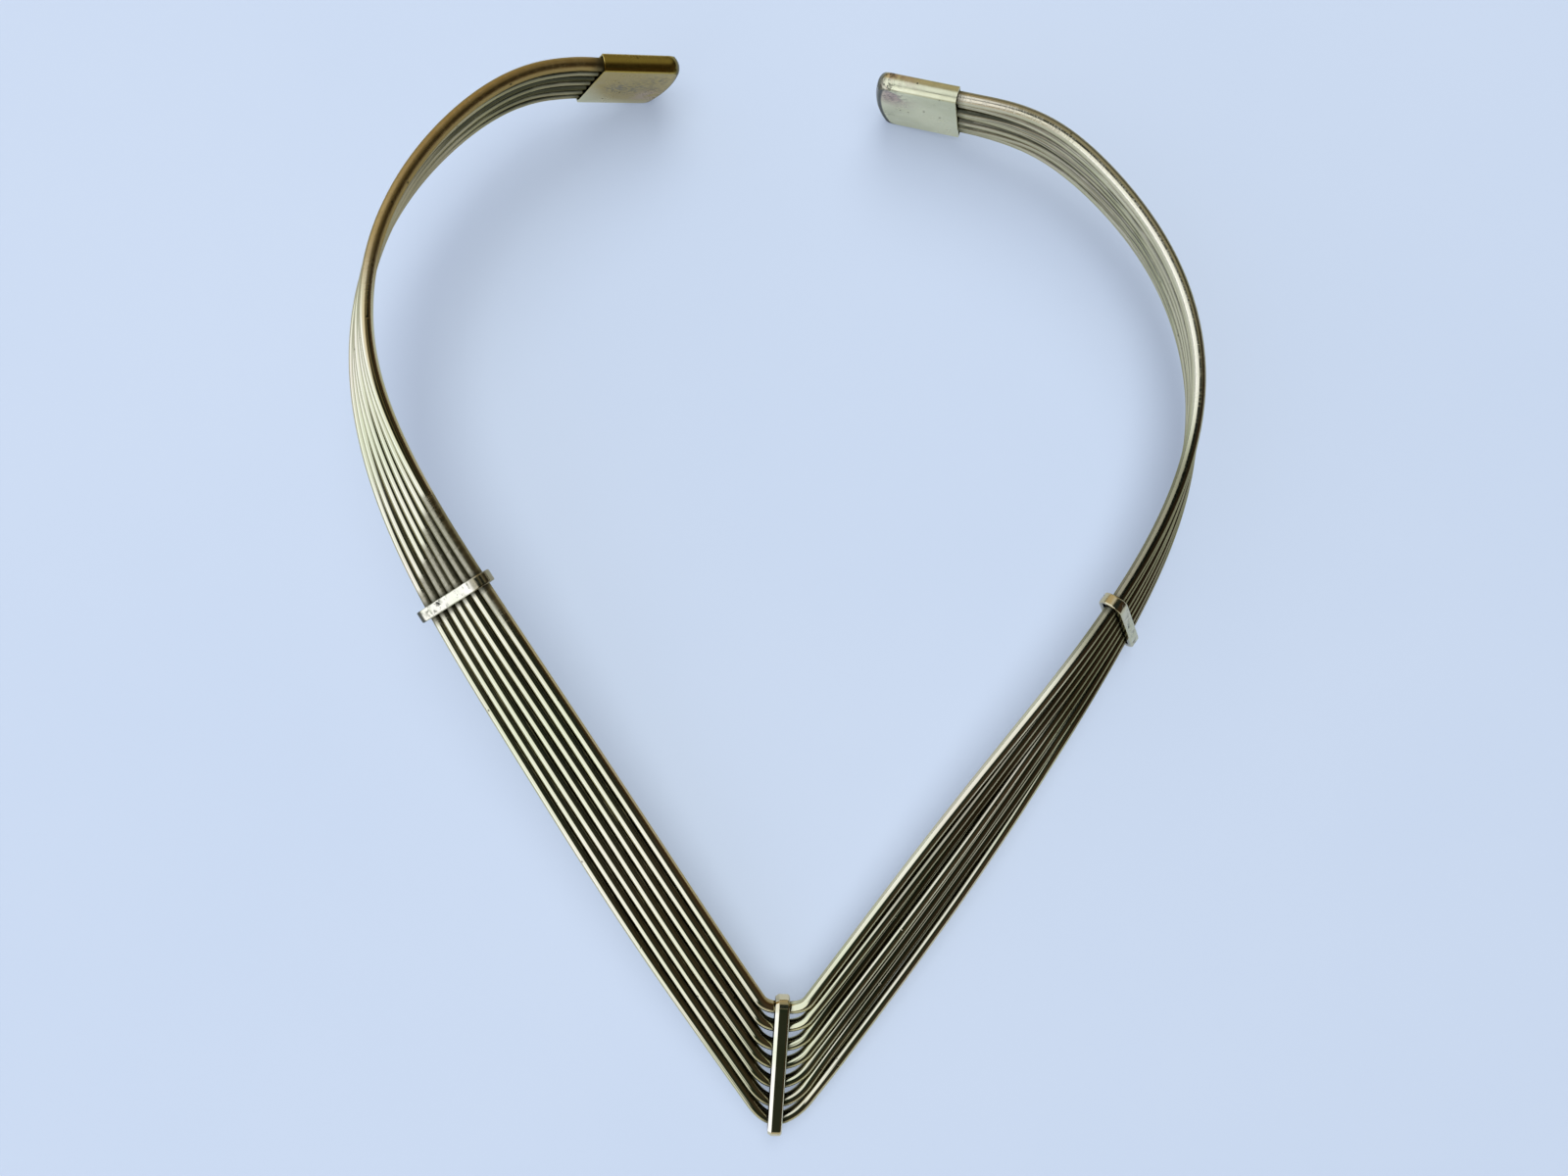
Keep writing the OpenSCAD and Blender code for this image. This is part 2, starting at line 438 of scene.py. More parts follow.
def wire_metal():
    """Drawn wire: pale gold, with slow changes of tint along it, fine lines, specks, and dirt and painted
    shade in the grooves.
    """
    t = Tree(bpy.data.materials.new("wire_metal"))
    place = t.place()
    worn = t.attribute("worn")
    # Slow changes of tint, then each wire's own brown worn stretches with a painted brown reflection, and its
    # stretches of painted shade
    tint = t.ramp(t.noise(t.run(0.045, 1.0), 1.0, 2), 0.40, 0.62)
    blush = t.ramp(t.noise(place, 45, 2), 0.52, 0.66, to_high=0.2)
    colour = t.mix(tint, PALE, OLIVE)
    colour = t.mix(blush, colour, ROSE)
    colour = t.mix(t.attribute("warmth_and_reflection"), colour, BROWN)
    colour = t.mix(t.attribute("dull"), colour, PATINA_AND_SHADE)
    # Dark streaks along the wire, dirt and painted shade in the grooves and by the straps and caps, and a few
    # specks
    streaks = t.ramp(t.noise(t.run(0.06, 16), 1.0, 3, 0.6), 0.50, 0.60)
    patches = t.ramp(t.noise(place, 300, 4), 0.25, 0.6, 0.75, 1.0)
    grime_and_shade_share = t.times(t.attribute("grime_and_shade"), patches)
    speckled = t.ramp(t.noise(place, 150, 2), 0.58, 0.66)
    specks = t.times(t.ramp(t.cells(place, 800), 0.10, 0.18, 1.0, 0.0), speckled)
    colour = t.mix(t.times(streaks, t.attribute("streak")), colour, TARNISH_AND_SHADE)
    colour = t.mix(grime_and_shade_share, colour, TARNISH_AND_SHADE)
    colour = t.mix(t.times(specks, 0.8), colour, SOOT)
    # Fine drawing lines everywhere, and scratches where the polish is worn
    lines = t.noise(t.run(0.03, 30), 1.0, 3, 0.6)
    scratches = t.ramp(t.noise(t.run(4.5, 1.2), 1.0, 4, 0.65, 0.4), 0.50, 0.70)
    rough = t.ramp(lines, 0.3, 0.75, 0.035, 0.08)
    rough = t.plus(rough, t.times(worn, 0.28))
    rough = t.plus(rough, t.times(grime_and_shade_share, 0.2))
    height = t.times(t.times(scratches, worn), -1.0)
    height = t.minus(height, specks)
    height = t.plus(height, t.times(lines, 0.05))
    t.shader.inputs["Specular Tint"].default_value = EDGE_TINT
    return t.metal(colour, rough, height, WIRE_RELIEF, 0.7)


def strap_metal():
    """Flat strap: as bright as the wires, dented, with dark pits in the dents and tarnish at the ends."""
    t = Tree(bpy.data.materials.new("strap_metal"))
    place = t.place()
    satin = t.attribute("satin")
    # Tint, with warmer and duller ends
    tint = t.ramp(t.noise(place, 160, 4), 0.42, 0.66)
    colour = t.mix(tint, PALE, OLIVE)
    colour = t.mix(t.attribute("warmth_and_reflection"), colour, GOLD)
    colour = t.mix(t.attribute("dull"), colour, PATINA_AND_SHADE)
    # Tarnish at the ends, darkening on the walls of the hollow, and pits in the dents
    pits = t.ramp(t.noise(place, 1100, 3, 0.6), 0.50, 0.58)
    pits = t.times(pits, t.attribute("wear"))
    colour = t.mix(t.times(t.attribute("grime_and_shade"), 0.95), colour, TARNISH_AND_SHADE)
    colour = t.mix(pits, colour, SOOT)
    # A satin strap is rougher and more uneven than a polished one
    rough = t.ramp(t.noise(place, 500, 4), 0.3, 0.7, 0.08, 0.18)
    rough = t.plus(t.times(rough, satin), 0.04)
    rough = t.plus(rough, t.times(pits, 0.3))
    height = t.minus(t.times(t.noise(place, 420, 3), 0.4), pits)
    return t.metal(colour, rough, t.times(height, satin), STRAP_RELIEF, 0.5)


def cap_metal():
    """Sheet cap: satin olive gold with fine grain, scratches, dark pits and pinkish stains."""
    t = Tree(bpy.data.materials.new("cap_metal"))
    place = t.place()
    # Tint, with olive, bronze and pinkish blots
    tint = t.ramp(t.noise(place, 120, 4), 0.35, 0.65, to_high=0.6)
    stain = t.times(t.attribute("stain"), t.ramp(t.noise(place, 350, 4), 0.38, 0.58))
    colour = t.mix(t.plus(tint, t.attribute("olive")), BRIGHT, OLIVE)
    colour = t.mix(t.attribute("bronze"), colour, BRONZE)
    colour = t.mix(stain, colour, ROSE)
    # Scratches across the worn places, painted shade round the end and in the hollow, darkening along the
    # rim, and a few pits
    marks = t.ramp(t.noise(t.run(1.3, 4.0), 1.0, 4, 0.7, 0.5), 0.49, 0.55)
    marks = t.times(marks, t.attribute("wear"))
    grime_and_shade_share = t.math("MAXIMUM", t.attribute("grime_and_shade"), t.times(marks, 0.8))
    pitted = t.ramp(t.noise(place, 260, 2), 0.56, 0.64)
    pits = t.times(t.ramp(t.cells(place, 1000), 0.12, 0.22, 1.0, 0.0), pitted)
    colour = t.mix(grime_and_shade_share, colour, TARNISH_AND_SHADE)
    colour = t.mix(t.times(pits, 0.8), colour, SOOT)
    # Fine grain
    rough = t.ramp(t.noise(place, 400, 3), 0.3, 0.7, 0.18, 0.28)
    rough = t.plus(rough, t.times(pits, 0.3))
    height = t.minus(t.noise(place, 1500, 4, 0.6), t.plus(pits, marks))
    return t.metal(colour, rough, height, CAP_RELIEF, 0.15)


# Straps

# A strap: its width, its length between the folds, its room, its middle, and its ways across, along and out
Strap = namedtuple("Strap", "name width inner_len room place x_way y_way out")
# Its look: both long edges, tarnish on the outer end, and how satin and how dull it is
StrapLook = namedtuple("StrapLook", "left_edge right_edge dark_end satin dull")
# A long edge: its kind, how wide and how deep it is
ROUND_EDGE = ("round", 0.22, 0.16)
STRAP_LOOKS = {
    "centre_bar": StrapLook(("flat", 0.50, 0.32), ("round", 0.40, 0.40), 0.0, 0.15, 0.0),
    "left_clip": StrapLook(ROUND_EDGE, ROUND_EDGE, 1.0, 1.0, 0.0),
    "right_clip": StrapLook(ROUND_EDGE, ROUND_EDGE, 0.0, 1.0, 0.2),
}

# Outline: its height, how far the thicker outer fold moves it outwards, half the flat that is left in the
# middle of a round end, and the corners of the hollow
STRAP_H = 2 * WIRE_R + 2 * SLIP + 2 * STRAP_WALL
FOLD_SHIFT = (OUTER_FOLD - INNER_FOLD) / 2
END_FLAT = 0.1
INNER_CORNER = 0.3

# Section: the gap from an edge to the flat's first stop, and the depth down to which a stop is dented
FLAT_GAP = 0.03
FACE_DEPTH = 0.05

# Dents of a strap: their number, and the limits of their place across, size and depth
STRAP_DENTS = 22
STRAP_DENT_LIMITS = ((-0.7, 0.7), (0.2, 0.5), (0.02, 0.05))

# Distances before the ends of a strap's hollow between which its tarnish, dullness and warmth set in
TARNISH_RISE = (0.9, 0.4)
DULL_RISE = (1.6, 0.8)
WARM_RISE = (1.2, -0.6)

# Darkening on the walls of its hollow, wear for each millimetre of a dent's depth, and its run from row to
# row
HOLLOW_DARKENING = 0.9
WEAR_PER_DEPTH = 16
ROW_RUN = 0.2


def strap_frames():
    """The centre bar and both clips, where they sit on the wires."""
    bar_len = (WIRE_COUNT - 1) * CROSS_STEP + 2 * WIRE_R + 2 * BAR_SLIP
    straps = [Strap("centre_bar", BAR_W, bar_len, BAR_SLIP, CROSS_MID, -BAR_LEFT, BAR_DOWN, BAR_UP)]
    for name, table, side, place, skew in (
        ("left_clip", LEFT_ROUTE, 1, LEFT_CLIP_ROW, LEFT_SKEW),
        ("right_clip", RIGHT_ROUTE, -1, RIGHT_CLIP_ROW, RIGHT_SKEW),
    ):
        middle, along, across, out = band(table, side, place)
        clip_len = BAND_W / math.cos(skew) + STRAP_W * math.tan(skew) + 2 * SLIP
        y_way = math.cos(skew) * across - math.sin(skew) * along
        straps.append(Strap(name, STRAP_W, clip_len, SLIP, middle, np.cross(y_way, out), y_way, out))
    return straps


def loop_stops(length, height, radius, shift, corner_stops=10, flat_step=0.35):
    """Stops round a strap's outline in its own plane, counter-clockwise, and their outward ways."""
    places, ways = [], []
    for quarter in range(4):
        y_sign = 1 if quarter in (0, 3) else -1
        z_sign = 1 if quarter < 2 else -1
        centre = np.array([y_sign * (length / 2 - radius) + shift, z_sign * (height / 2 - radius)])
        for k in range(corner_stops + 1):
            a = math.pi / 2 * (quarter + k / corner_stops)
            way = np.array([math.cos(a), math.sin(a)])
            places.append(centre + radius * way)
            ways.append(way)
        flat = length - 2 * radius if quarter % 2 == 0 else height - 2 * radius
        step = np.array([-y_sign, 0]) if quarter % 2 == 0 else np.array([0, -z_sign])
        count = max(int(flat / flat_step), 2)
        start, way = places[-1], ways[-1]
        for k in range(1, count):
            places.append(start + step * flat * k / count)
            ways.append(way)
    return np.array(places), np.array(ways)


def edge_line(kind, wide, deep):
    """One long edge of a strap, from its side inwards: a round edge or a flat bevel."""
    if kind == "round":
        turns = np.linspace(0, math.pi / 2, 7)
        return [(wide * (1 - math.cos(a)), deep * (1 - math.sin(a))) for a in turns]
    return [(wide * share, deep * (1 - share)) for share in (0, 0.08, 0.5, 0.92, 1)]


def strap_section(width, left, right):
    """Section of a strap from left to right: place across it, and depth under its outer face."""
    start = edge_line(*left)
    finish = [(width - x, depth) for x, depth in reversed(edge_line(*right))]
    low, high = start[-1][0] + FLAT_GAP, finish[0][0] - FLAT_GAP
    flat = [(x, 0) for x in np.linspace(low, high, 8)]
    return [(x - width / 2, depth) for x, depth in start + flat + finish]


def strap_outlines(strap):
    """Stops round a strap's outer outline, their outward ways, and the same stops on its inner outline."""
    length = strap.inner_len + INNER_FOLD + OUTER_FOLD
    outer, ways = loop_stops(length, STRAP_H, STRAP_H / 2 - END_FLAT, FOLD_SHIFT)
    core = np.array([strap.inner_len / 2, WIRE_R + strap.room]) - INNER_CORNER
    return outer, ways, np.clip(outer, -core, core) + INNER_CORNER * ways


def strap_skin(strap, look, seed):
    """A strap's points in its own frame, row by row, how deep each is dented, and its outer outline."""
    outer, ways, inner = strap_outlines(strap)
    half = strap.inner_len / 2
    dents = random_dents(seed, STRAP_DENTS, ((-half, half),) + STRAP_DENT_LIMITS)
    section = strap_section(strap.width, look.left_edge, look.right_edge)
    points, sinks = [], []
    for x, depth in section:
        for stop, way in zip(outer, ways):
            spot = stop - way * depth
            sink = look.satin * blot_sum(dents, spot[0], x)
            if depth < FACE_DEPTH:
                spot = spot - way * sink
            points.append((x, *spot))
            sinks.append(sink)
    first = [(-strap.width / 2, *spot) for spot in inner]
    last = [(strap.width / 2, *spot) for spot in inner]
    still = [0.0] * len(inner)
    return np.array(first + points + last), np.array(still + sinks + still), outer


def near_end(places, half, rise):
    """0 to 1 between two distances before an end of a hollow of this half length."""
    return smooth_step(places, half - rise[0], half - rise[1])


def strap_attributes(strap, look, points, sinks, count):
    """What the straps' metal reads: warmer ends, of which one may be tarnished and the other duller, and
    darkening on the walls of the hollow.
    """
    along = points[:, 1]
    half = strap.inner_len / 2
    inside = np.zeros(len(points))
    inside[:count] = HOLLOW_DARKENING
    inside[-count:] = HOLLOW_DARKENING
    return {
        "wear": np.minimum(WEAR_PER_DEPTH * sinks, 1.0),
        "grime_and_shade": np.maximum(inside, look.dark_end * near_end(along, half, TARNISH_RISE)),
        "warmth_and_reflection": 0.55 * near_end(np.abs(along - FOLD_SHIFT), half, WARM_RISE),
        "satin": np.full(len(points), look.satin),
        "dull": np.maximum(look.dull, 0.6 * look.dark_end * near_end(-along, half, DULL_RISE)),
    }


def make_strap(strap, look, material, seed):
    """A closed strap, dented and tarnished, with its ends folded round the outer wires."""
    points, sinks, outer = strap_skin(strap, look, seed)
    count = len(outer)
    faces, places = grid_faces(len(points) // count, count, wrap_rows=True)
    run = np.concatenate([[0], np.cumsum(np.linalg.norm(np.diff(outer, axis=0), axis=1))])
    run = np.append(run, run[-1] + np.linalg.norm(outer[0] - outer[-1]))
    corners = [(run[c], ROW_RUN * r) for quad in places for r, c in quad]
    attributes = strap_attributes(strap, look, points, sinks, count)
    points = in_frame(points, strap.place, strap.x_way, strap.y_way, strap.out)
    make_piece(strap.name, points, faces, corners, attributes, material)


# Wires

# Slow bows of the hand-bent wires. Each wave: its height, the run over which it turns by one radian, and how
# fast its phase turns against the first one's
BOWS = ((0.07, 14.0, 1.0), (0.05, 8.3, 2.1))
# The phase turns by this from wire to wire, and the bows fade out over this distance before the caps
BOW_TURN = 2.3
BOW_FADE = 6

# How far each wire stands out of the band's face on the right arm, and the distances from the bar between
# which this sets in and ends
RIGHT_LIFTS = (0.0, 0.28, -0.28, 0.28, -0.08, -0.28, 0.28)
LIFT_RISE = (1.5, 9)
LIFT_FALL = (24, 42)

# A wire's skin lies this much inside its radius
SKIN_GAP = 0.01

# Wires that get painted shade, all but black, near the left cap
BLACK_WIRES = (3, 5)

# Stretches where the looks change, by y from where a change sets in to where it is full
LEFT_BACK = (36, 50)
LEFT_BLACK = (56, 66)
LEFT_CLEAR = (10, 22)
LEFT_CLEAR_END = (38, 50)
RIGHT_ARM_END = (-24, -12)
RIGHT_BACK = (0, 20)
# The first wire's outer face gets painted shade over this stretch
RIGHT_SHADED_FACE = (8, 30)
# The same by distance from the left cap's mouth, and by share of the wire's length
LEFT_CAP_END = (9, 24)
LEFT_RUB_END = (0.2, 0.28)

# Grime and painted shade between wires start where a wire's side faces its neighbour by this cosine, and are
# full after the rise, or at the limit
GROOVE_START = 0.55
GROOVE_RISE = 0.4
GROOVE_LIMIT = 1.02
# Tarnish and painted shade beside the straps and caps: their strength, and how far they reach from a strap
# and from each cap
EDGE_GRIME_AND_SHADE = 0.85
STRAP_REACH = 0.9
LEFT_CAP_REACH = 2.2
RIGHT_CAP_REACH = 1.2
# Stops further from a strap or cap than this belong to another part of the wire
EDGE_NEAR = 14

# Stretches of painted shade on the wires. Each row: side, -1 for the left, first and last wire, y of the
# start and its change from wire to wire, y of the end and its change, softness, then painted shade, wear and
# dark streaks
SHADE_STRETCHES = (
    (-1, 1, 1, -2, 0, 14, 0, 6, 0.40, 0.9, 0.0),
    (-1, 1, 1, 42, 0, 300, 0, 10, 0.40, 0.9, 0.0),
    (-1, 2, 7, 44, 0, 300, 0, 10, 0.30, 0.1, 0.3),
    (-1, 3, 3, 62, 0, 300, 0, 12, 0.9, 0.0, 0.0),
    (-1, 5, 5, 62, 0, 300, 0, 12, 0.9, 0.0, 0.0),
    (-1, 1, 7, 3.5, -0.9, 15.5, -2.15, 1, 0.65, 0.8, 0.0),
    (-1, 2, 7, 16, 0, 44, 0, 10, 0.0, 0.0, 0.1),
    (1, 1, 1, -8, 0, 24, 0, 12, 0.75, 0.3, 0.0),
    (1, 2, 7, -18, 0, 24, 0, 10, 0.65, 0.2, 0.3),
    (1, 3, 3, -60, 0, -20, 0, 8, 0.75, 0.0, 0.0),
    (1, 5, 6, -62, 0, -20, 0, 8, 0.6, 0.0, 0.0),
    (1, 1, 1, 26, 0, 300, 0, 10, 0.0, 0.45, 0.0),
    (1, 2, 2, -46, 0, -8, 0, 14, 0.5, 0.0, 0.0),
    (1, 2, 7, 20, 0, 300, 0, 20, 0.0, 0.1, 0.4),
    (1, 3, 6, 46, 0, 300, 0, 16, 0.15, 0.1, 0.8),
)


def shade_wear_streak_shares(points, number):
    """Painted shade, wear and streaks at each stop of a wire."""
    shares = np.zeros((3, len(points)))
    x, y = points[:, 0], points[:, 1]
    for side, first, last, start, start_step, end, end_step, soft, *strengths in SHADE_STRETCHES:
        if first <= number <= last:
            low = start + start_step * (number - first)
            high = end + end_step * (number - first)
            share = stretch(y, low, high, soft) * (x * side > 0)
            shares = np.maximum(shares, np.outer(strengths, share))
    return shares


def tarnish_and_shade_beside(points, place, x_way, low, high, reach):
    """Tarnish, where polishing cannot reach, and painted shade on a wire that comes close to a strap's or
    cap's edge.
    """
    offset = points - place
    x = offset @ x_way
    outside = np.maximum(np.maximum(low - x, x - high), 0)
    near = np.linalg.norm(offset, axis=1) < EDGE_NEAR
    return near * (1 - smooth_step(outside, 0, reach))


def edge_tarnish_and_shade(points):
    """Tarnish and painted shade at each stop of a wire beside the straps and in the mouths of the caps."""
    beside = np.zeros(len(points))
    for strap in strap_frames():
        half = strap.width / 2
        by_strap = tarnish_and_shade_beside(points, strap.place, strap.x_way, -half, half, STRAP_REACH)
        beside = np.maximum(beside, by_strap)
    for table, side, reach in ((LEFT_ROUTE, 1, LEFT_CAP_REACH), (RIGHT_ROUTE, -1, RIGHT_CAP_REACH)):
        mouth, way, _, _ = band(table, side, len(table) - 1)
        beside = np.maximum(beside, tarnish_and_shade_beside(points, mouth, way, 0, CAP_LEN, reach))
    return beside


def groove_tarnish_and_shade(points, angle, beside, number):
    """Tarnish and painted shade round a wire where it faces its neighbours and beside the straps and caps."""
    x, y = points[:, 0], points[:, 1]
    left = x < CROSS_MID[0]
    mouth = band(LEFT_ROUTE, 1, len(LEFT_ROUTE) - 1)[0]
    # It reaches furthest round the wire by the left cap, and least far on the right arm
    by_cap = 1 - smooth_step(np.linalg.norm(points - mouth, axis=1), *LEFT_CAP_END)
    right_arm = ~left * (1 - smooth_step(y, *RIGHT_ARM_END))
    right_back = ~left * smooth_step(y, *RIGHT_BACK)
    left_back = left * smooth_step(y, *LEFT_BACK)
    start = GROOVE_START - 0.2 * by_cap + 0.25 * right_arm - 0.12 * right_back - 0.12 * left_back
    start = start[:, None]
    finish = np.minimum(start + GROOVE_RISE, GROOVE_LIMIT)
    facing = np.cos(angle)[None, :]
    inner = smooth_step(-facing, start, finish) * (number > 1)
    outer = smooth_step(facing, start, finish) * (number < WIRE_COUNT)
    # Little of it is left on the left side
    clear = left * smooth_step(y, *LEFT_CLEAR) * (1 - smooth_step(y, *LEFT_CLEAR_END))
    grime_and_shade = np.maximum(inner, outer) * (1 - 0.9 * clear[:, None])
    grime_and_shade = np.maximum(grime_and_shade, EDGE_GRIME_AND_SHADE * beside[:, None])
    if number in BLACK_WIRES:
        black = left * smooth_step(y, *LEFT_BLACK)
        grime_and_shade = np.maximum(grime_and_shade, EDGE_GRIME_AND_SHADE * black[:, None])
    return grime_and_shade


def wire_looks(points, run, angle, beside, number):
    """What the wires' metal reads at each stop of a wire and each place round it."""
    x, y = points[:, 0], points[:, 1]
    left = x < CROSS_MID[0]
    even = np.ones((len(run), len(angle)))
    dull, worn, streak = (share[:, None] * even for share in shade_wear_streak_shares(points, number))
    # All wires are browner and worn at the left back, the one against the neck most of all
    left_back = left * smooth_step(y, *LEFT_BACK)
    warmth_and_reflection = (left_back if number == 1 else 0.3 * left_back)[:, None] * even
    left_end = 1 - smooth_step(run / run[-1], *LEFT_RUB_END)
    worn = np.maximum(worn, warmth_and_reflection**2 * left_end[:, None])
    if number == 1:
        # Its inner flank gets a painted brown reflection on the left, and its outer face painted shade round
        # the right back
        on_left = left * (1 - 0.6 * left_back)
        flank = smooth_step(-np.cos(angle), 0.6, 0.9)[None, :] * on_left[:, None]
        on_right = ~left * smooth_step(y, *RIGHT_SHADED_FACE)
        face = smooth_step(np.sin(angle), 0.2, 0.45)[None, :] * on_right[:, None]
        warmth_and_reflection = np.maximum(warmth_and_reflection, 0.7 * flank)
        dull = np.maximum(np.maximum(dull, 0.1 * flank), 0.6 * face)
    grime_and_shade = groove_tarnish_and_shade(points, angle, beside, number)
    looks = {"grime_and_shade": grime_and_shade, "warmth_and_reflection": warmth_and_reflection, "worn": worn, "dull": dull, "streak": streak}
    return {title: values.ravel() for title, values in looks.items()}


def hand_bend(points, run, number):
    """How far a wire stands out of the band's face: slow bows, none inside the caps, and its lift."""
    phase = number * BOW_TURN
    bow = sum(high * np.sin(run / long + turn * phase) for high, long, turn in BOWS)
    free = np.clip((np.minimum(run, run[-1] - run) - CAP_LEN) / BOW_FADE, 0, 1)
    from_bar = points[:, 0] - CROSS_MID[0]
    lifted = smooth_step(from_bar, *LIFT_RISE) * (1 - smooth_step(from_bar, *LIFT_FALL))
    return bow * free + RIGHT_LIFTS[number - 1] * lifted


def make_wire(number, material):
    """A whole wire from cap to cap, round and closed at both ends."""
    points, across, run = wire_way(number)
    along = np.gradient(points, axis=0)
    along /= np.linalg.norm(along, axis=1)[:, None]
    out = np.cross(across, along)
    out /= np.linalg.norm(out, axis=1)[:, None]
    across = np.cross(along, out)
    beside = edge_tarnish_and_shade(points)
    points = points + hand_bend(points, run, number)[:, None] * out
    angle = np.linspace(0, 2 * math.pi, WIRE_SIDES, endpoint=False)
    ring = np.cos(angle)[None, :, None] * across[:, None, :] + np.sin(angle)[None, :, None] * out[:, None, :]
    skin = points[:, None, :] + (WIRE_R - SKIN_GAP) * ring
    faces, places = grid_faces(len(run), WIRE_SIDES)
    corners = [(run[r], c / WIRE_SIDES) for quad in places for r, c in quad]
    # Both ends are closed by one face each
    count = len(run) * WIRE_SIDES
    faces += [list(range(WIRE_SIDES))[::-1], list(range(count - WIRE_SIDES, count))]
    corners += [(0, j / WIRE_SIDES) for j in range(WIRE_SIDES)][::-1]
    corners += [(run[-1], j / WIRE_SIDES) for j in range(WIRE_SIDES)]
    looks = wire_looks(points, run, angle, beside, number)
    make_piece(f"wire_{number}", skin.reshape(-1, 3), faces, corners, looks, material)


# Caps

# Tight folds along a cap's edge: their radius, and how far they turn before its crowned rim takes over
FOLD_R = 0.42
FOLD_TURN = math.radians(59)

# Half height and half width of a cap
CAP_HALF_H = WIRE_R + CAP_SLIP + CAP_WALL
CAP_HALF_W = BAND_W / 2 + CAP_SLIP + CAP_WALL

# Rows of points from the mouth to the end, and where the first one lies, past the rounded lip
CAP_ROWS = 48
CAP_LIP = 0.06

# Dents of a cap: their number, and the limits of their place, place across, size and depth
CAP_DENTS = 26
CAP_DENT_LIMITS = ((0, CAP_LEN), (-6, 6), (0.6, 2.2), (-0.02, 0.04))

# Look of a cap: the seed of its dents, painted shadow on the fold of its end, darkening on its rim, and its
# blots, each with its distance from the mouth, place across, size and strength
CapLook = namedtuple("CapLook", "seed end_line rim_line blots")
CAP_LOOKS = {
    "left_cap": CapLook(11, 0.2, 0.05, {
        "stain": [(9.5, 3, 2.0, 0.8)],
        "wear": [(6, 0, 2.6, 1.0), (3.5, 0, 1.4, 0.8), (9.5, -4, 2.2, 1.0), (10, 0, 1.6, 0.7)],
        "olive": [(5, -3, 5.0, 0.7)],
        "bronze": [(2, -6, 7.0, 1.0), (8, -5, 7.0, 1.0), (10, 2, 5.0, 0.8), (5, 2, 4.0, 0.5)],
    }),
    "right_cap": CapLook(12, 1.0, 0.1, {
        "stain": [(9.5, -4, 2.6, 1.0), (8.5, -7, 1.8, 1.0)],
        "wear": [(9.5, -4.5, 2.2, 1.0), (10.6, -6, 1.4, 1.0), (10.8, 2, 1.2, 0.8)],
        "olive": [(3, -6, 4.0, 0.5)],
    }),
}


def edge_profile(fold_stops=5, rim_stops=12):
    """A cap's edge from one face to the other, as places outwards and heights, and its whole reach."""
    fold_drop = FOLD_R * (1 - math.cos(FOLD_TURN))
    fold_out = FOLD_R * math.sin(FOLD_TURN)
    rim_r = (CAP_HALF_H - fold_drop) / math.cos(FOLD_TURN)
    centre = fold_out - rim_r * math.sin(FOLD_TURN)
    fold = []
    for a in np.linspace(0, FOLD_TURN, fold_stops + 1)[1:]:
        fold.append((FOLD_R * math.sin(a), CAP_HALF_H - FOLD_R * (1 - math.cos(a))))
    rim = []
    for a in np.linspace(FOLD_TURN, math.pi - FOLD_TURN, rim_stops + 1)[1:]:
        rim.append((centre + rim_r * math.sin(a), rim_r * math.cos(a)))
    under = [(out, -height) for out, height in reversed(fold[:-1])]
    return fold + rim + under, centre + rim_r


def cap_columns(edge_out, end_stops=38, corner_stops=10):
    """Columns of a cap's face, inset from its edge: each one's place across, its end and its outward way."""
    half = CAP_HALF_W - edge_out
    radius = CAP_CORNER - edge_out
    arc_r = (CAP_HALF_W**2 + CAP_BULGE**2) / (2 * CAP_BULGE)
    centre_x = CAP_LEN - arc_r
    end_r = arc_r - edge_out
    corner = []
    for a in np.linspace(0, math.pi / 2, corner_stops + 1):
        y = -half + radius * (1 - math.cos(a))
        x = CAP_LEN - CAP_CORNER + radius * math.sin(a)
        if x <= centre_x + math.sqrt(end_r**2 - y**2):
            corner.append((y, x, (-math.cos(a), math.sin(a))))
    ends = []
    for y in np.linspace(corner[-1][0], -corner[-1][0], end_stops)[1:-1]:
        x = math.sqrt(end_r**2 - y**2)
        ends.append((y, centre_x + x, (y / end_r, x / end_r)))
    mirrored = [(-y, x, (-way[0], way[1])) for y, x, way in reversed(corner)]
    return corner + ends + mirrored


def column_place(end, i):
    """How far from the mouth a column of this end has its point of row i."""
    return CAP_LIP + (end - CAP_LIP) * i / CAP_ROWS


class CapSkin:
    """Points of a cap in its own frame, each with its spot on the plan and its share of darkening and painted
    shade.
    """

    def __init__(self, dents):
        self.dents = dents
        self.points = []
        self.spots = []
        self.grime_and_shade = []

    def put(self, x, y, z, dark=0.0):
        """Add a point, dented where it lies on a face, and give its number."""
        sink = blot_sum(self.dents, x, y) if abs(abs(z) - CAP_HALF_H) < 0.001 else 0
        self.points.append((x, y, z - math.copysign(sink, z)))
        self.spots.append((x, y))
        self.grime_and_shade.append(dark)
        return len(self.points) - 1


def cap_grids(skin, columns, end_line):
    """A cap's outer and inner face, each as rows of points from the mouth to the end."""
    grids = []
    for z in (CAP_HALF_H, -CAP_HALF_H):
        grid = []
        for i in range(CAP_ROWS + 1):
            # The last rows by the end get the painted shadow of the end's fold
            dark = end_line if i > CAP_ROWS - 2 else 0.0
            grid.append([skin.put(column_place(end, i), y, z, dark) for y, end, _ in columns])
        grids.append(grid)
    return grids


